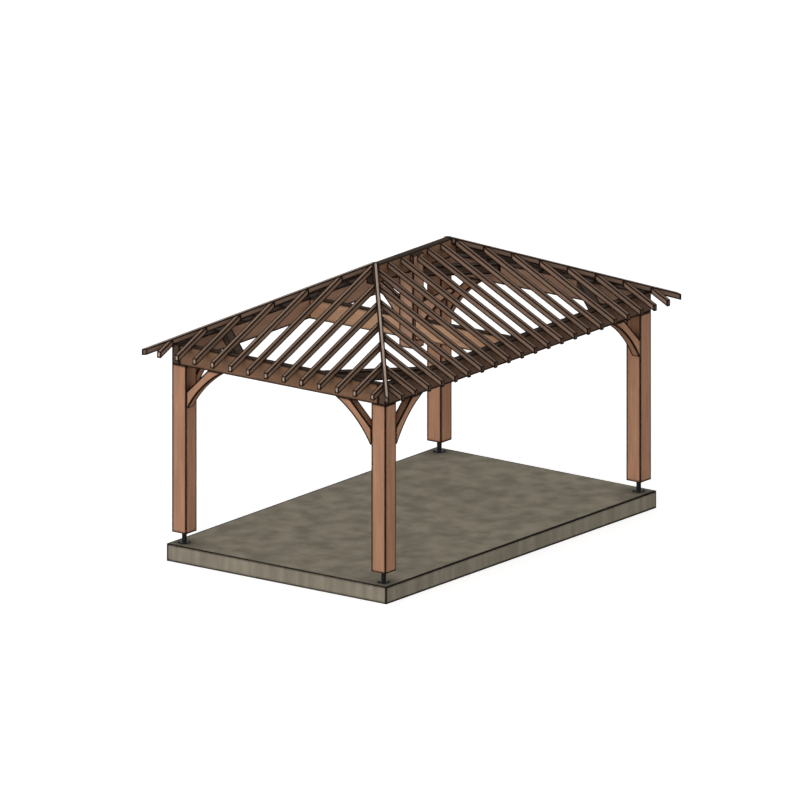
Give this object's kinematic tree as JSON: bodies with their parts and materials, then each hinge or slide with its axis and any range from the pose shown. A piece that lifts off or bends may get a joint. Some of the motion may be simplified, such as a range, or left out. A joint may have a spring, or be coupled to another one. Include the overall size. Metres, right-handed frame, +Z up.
{
  "type": "timber-frame hip-roofed gazebo",
  "caption": "Open timber-frame gazebo: square posts on steel bases carry beams, arched knee braces and a hip roof of spaced rafters, all on a concrete slab.",
  "frame": {"origin": "middle of the slab's underside, where it meets the ground", "axes": "+X along the long side, +Y along the short side from front to back, +Z up"},
  "size_m": [6.706, 4.268, 4.067],
  "materials": {
    "concrete": "matte",
    "black_steel": "satin",
    "post_timber": "matte",
    "beam_timber": "matte",
    "brace_timber": "matte",
    "rafter_timber": "matte"
  },
  "bodies": {
    "root": {"slab": "concrete", "post_base_front_left": "black_steel", "post_base_front_right": "black_steel", "post_base_back_right": "black_steel", "post_base_back_left": "black_steel", "post_front_left": "post_timber", "post_front_right": "post_timber", "post_back_right": "post_timber", "post_back_left": "post_timber", "beam_front": "beam_timber", "beam_back": "beam_timber", "beam_left": "beam_timber", "beam_right": "beam_timber", "tie_beam": "beam_timber", "king_post": "post_timber", "ridge_beam": "beam_timber", "corner_tie_front_left": "beam_timber", "corner_tie_front_right": "beam_timber", "corner_tie_back_right": "beam_timber", "corner_tie_back_left": "beam_timber", "brace_front_left_long": "brace_timber", "brace_front_right_long": "brace_timber", "brace_back_right_long": "brace_timber", "brace_back_left_long": "brace_timber", "brace_front_left_short": "brace_timber", "brace_front_right_short": "brace_timber", "brace_back_right_short": "brace_timber", "brace_back_left_short": "brace_timber", "king_post_struts": "brace_timber", "hip_front_left": "rafter_timber", "hip_front_right": "rafter_timber", "hip_back_right": "rafter_timber", "hip_back_left": "rafter_timber", "common_rafters_front": "rafter_timber", "common_rafters_back": "rafter_timber", "common_rafter_left": "rafter_timber", "common_rafter_right": "rafter_timber", "jack_rafters_front_left": "rafter_timber", "jack_rafters_front_right": "rafter_timber", "jack_rafters_back_right": "rafter_timber", "jack_rafters_back_left": "rafter_timber", "jack_rafters_left_front": "rafter_timber", "jack_rafters_right_front": "rafter_timber", "jack_rafters_right_back": "rafter_timber", "jack_rafters_left_back": "rafter_timber"}
  },
  "joints": []
}
